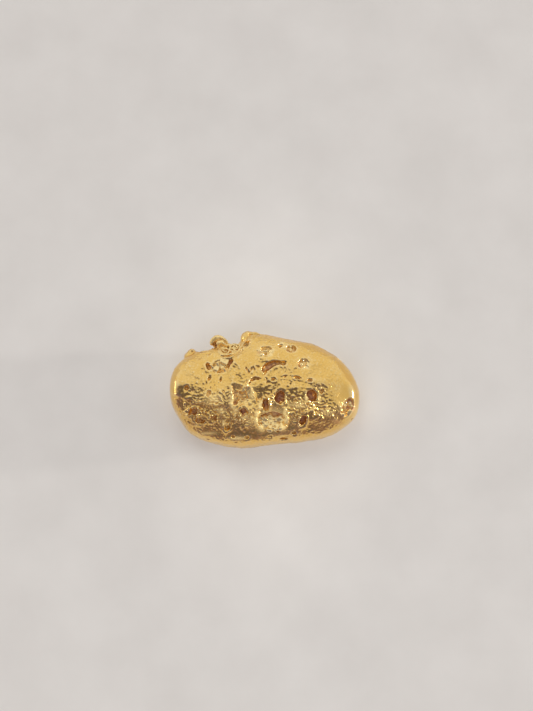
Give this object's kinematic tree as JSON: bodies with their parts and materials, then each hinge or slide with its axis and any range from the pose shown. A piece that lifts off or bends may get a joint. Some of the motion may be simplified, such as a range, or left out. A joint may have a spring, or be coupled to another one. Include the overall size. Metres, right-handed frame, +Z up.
{
  "type": "gold nugget",
  "caption": "Natural gold nugget: flattened waterworn lump with a ledge, crystal-lined bowls, pits, a long groove and a torn corner, lying on a small flat.",
  "frame": {"origin": "middle of the outline seen from above, at the height of the flat that the nugget lies on", "axes": "+X along the length towards the rounded end, +Y across towards the torn corner, +Z up through the crown"},
  "size_m": [0.0102, 0.0062, 0.0033],
  "materials": {
    "gold": "native gold, waterworn and bright on high spots, brown and dull in pits"
  },
  "bodies": {
    "root": {"nugget": "gold"}
  },
  "joints": []
}
